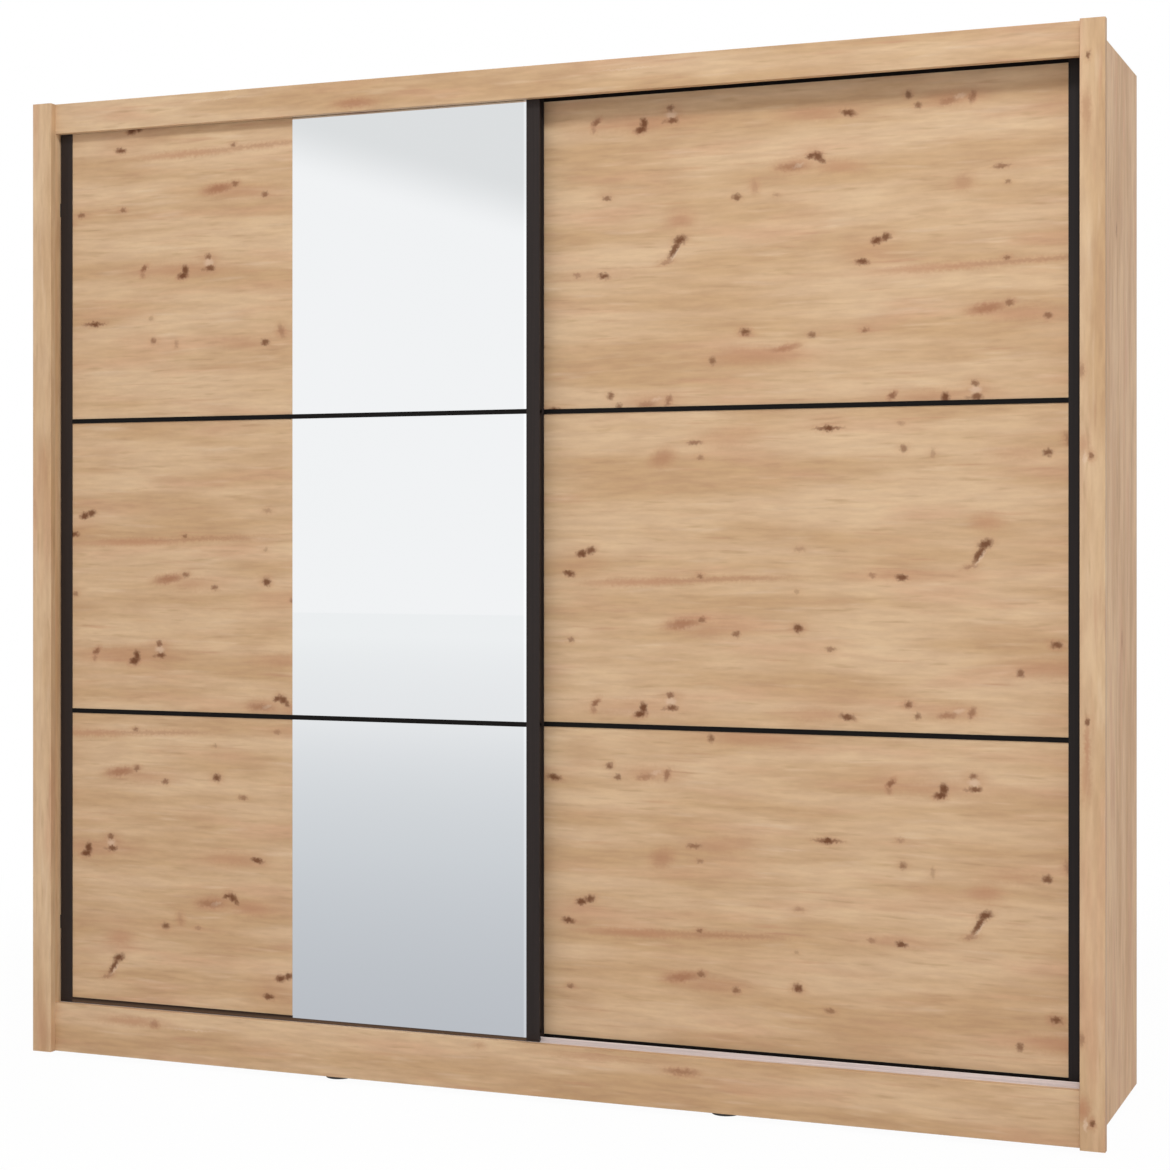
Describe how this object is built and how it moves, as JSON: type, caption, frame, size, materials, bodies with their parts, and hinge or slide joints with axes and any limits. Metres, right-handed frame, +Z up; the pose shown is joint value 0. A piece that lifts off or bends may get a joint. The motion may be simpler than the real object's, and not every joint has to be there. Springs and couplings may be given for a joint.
{
  "type": "sliding door wardrobe",
  "caption": "Wide board wardrobe with sliding doors in slim dark frames, the front door half mirror, the other oak-look wood, over shelves and hanging rails.",
  "frame": {"origin": "on the floor, under the middle of the wardrobe's bounding box", "axes": "+X along the width to the right as seen from the front, +Y from the doors to the back panels, +Z up"},
  "size_m": [2.4, 0.6, 2.152],
  "materials": {
    "oak_finish": "matt oak-look laminate",
    "inner_board": "matt laminate",
    "hardboard": "matt",
    "dark_aluminium": "satin black-brown",
    "pale_aluminium": "satin",
    "mirror_glass": "polished",
    "dark_plastic": "matt",
    "pale_nylon": "satin",
    "soft_rubber": "matt",
    "zinc_steel": "satin",
    "chromed_tube": "polished"
  },
  "bodies": {
    "carcass": {"side_panel_left": "oak_finish", "side_panel_right": "oak_finish", "top_panel": "inner_board", "bottom_panel": "inner_board", "partition_left": "inner_board", "partition_right": "inner_board", "back_panel_left": "hardboard", "back_panel_middle": "hardboard", "back_panel_right": "hardboard", "stile_left": "oak_finish", "stile_right": "oak_finish", "fascia": "oak_finish", "plinth": "oak_finish", "rear_plinth_rail": "inner_board", "legs": "dark_plastic", "glides": "dark_plastic", "top_track": "pale_aluminium", "bottom_track": "pale_aluminium", "left_shelf_1": "inner_board", "left_shelf_2": "inner_board", "left_shelf_3": "inner_board", "left_shelf_4": "inner_board", "hat_shelf_middle": "inner_board", "hat_shelf_right": "inner_board", "low_shelf_right": "inner_board", "hanging_rail_middle": "chromed_tube", "hanging_rail_right": "chromed_tube", "rail_sockets": "zinc_steel", "shelf_supports": "zinc_steel", "cam_fittings": "zinc_steel", "door_bumpers": "soft_rubber"},
    "left_door": {"left_door_outer_profile": "dark_aluminium", "left_door_inner_profile": "dark_aluminium", "left_door_top_rail": "dark_aluminium", "left_door_bottom_rail": "dark_aluminium", "left_door_dividers": "dark_aluminium", "left_door_wood_bottom": "oak_finish", "left_door_wood_middle": "oak_finish", "left_door_wood_top": "oak_finish", "left_door_mirror_bottom": "mirror_glass", "left_door_mirror_middle": "mirror_glass", "left_door_mirror_top": "mirror_glass", "left_door_backing_boards": "hardboard", "left_door_roller_cages": "zinc_steel", "left_door_top_guides": "pale_nylon"},
    "right_door": {"right_door_outer_profile": "dark_aluminium", "right_door_inner_profile": "dark_aluminium", "right_door_top_rail": "dark_aluminium", "right_door_bottom_rail": "dark_aluminium", "right_door_dividers": "dark_aluminium", "right_door_wood_bottom": "oak_finish", "right_door_wood_middle": "oak_finish", "right_door_wood_top": "oak_finish", "right_door_roller_cages": "zinc_steel", "right_door_top_guides": "pale_nylon"},
    "left_door_outer_roller": {"left_door_outer_roller": "pale_nylon"},
    "left_door_inner_roller": {"left_door_inner_roller": "pale_nylon"},
    "right_door_outer_roller": {"right_door_outer_roller": "pale_nylon"},
    "right_door_inner_roller": {"right_door_inner_roller": "pale_nylon"}
  },
  "joints": [
    {"name": "left_door_slide", "type": "slide", "parent": "carcass", "child": "left_door", "axis": [1, 0, 0], "range_m": [0, 1.12]},
    {"name": "right_door_slide", "type": "slide", "parent": "carcass", "child": "right_door", "axis": [1, 0, 0], "range_m": [-1.12, 0]},
    {"name": "left_door_outer_roller_spin", "type": "hinge", "parent": "left_door", "child": "left_door_outer_roller", "pos_m": [-1.059, -0.2471, 0.1383], "axis": [0, 1, 0], "continuous": true},
    {"name": "left_door_inner_roller_spin", "type": "hinge", "parent": "left_door", "child": "left_door_inner_roller", "pos_m": [-0.061, -0.2471, 0.1383], "axis": [0, 1, 0], "continuous": true},
    {"name": "right_door_outer_roller_spin", "type": "hinge", "parent": "right_door", "child": "right_door_outer_roller", "pos_m": [1.059, -0.2161, 0.1383], "axis": [0, 1, 0], "continuous": true},
    {"name": "right_door_inner_roller_spin", "type": "hinge", "parent": "right_door", "child": "right_door_inner_roller", "pos_m": [0.061, -0.2161, 0.1383], "axis": [0, 1, 0], "continuous": true}
  ],
  "couplings": [
    {"joint": "left_door_outer_roller_spin", "follows": "left_door_slide", "rad_per_m": 111.11},
    {"joint": "left_door_inner_roller_spin", "follows": "left_door_slide", "rad_per_m": 111.11},
    {"joint": "right_door_outer_roller_spin", "follows": "right_door_slide", "rad_per_m": 111.11},
    {"joint": "right_door_inner_roller_spin", "follows": "right_door_slide", "rad_per_m": 111.11}
  ]
}
